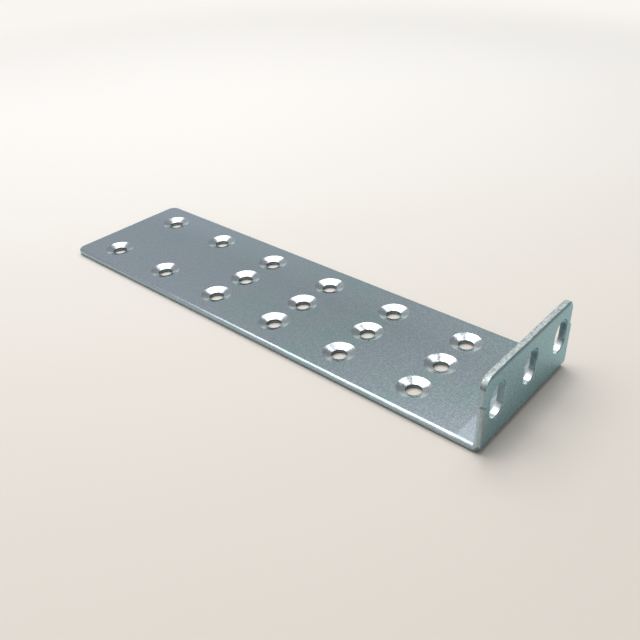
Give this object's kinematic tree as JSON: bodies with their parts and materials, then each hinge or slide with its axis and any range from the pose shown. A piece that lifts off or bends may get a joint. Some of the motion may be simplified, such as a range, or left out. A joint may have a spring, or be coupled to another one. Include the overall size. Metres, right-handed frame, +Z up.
{
  "type": "rack mount bracket",
  "caption": "Folded sheet steel bracket: a long plate with countersunk screw holes and a short upright flange with rack slots.",
  "frame": {"origin": "centre of the screw pattern, on the underside of the plate, which is the face that meets the equipment", "axes": "+X along the plate towards the flange, +Y along the fold, +Z up the flange and out of the countersunk side of the plate"},
  "size_m": [0.1651, 0.044, 0.0218],
  "materials": {
    "zinc_plate": "satin"
  },
  "bodies": {
    "root": {"bracket": "zinc_plate"}
  },
  "joints": []
}
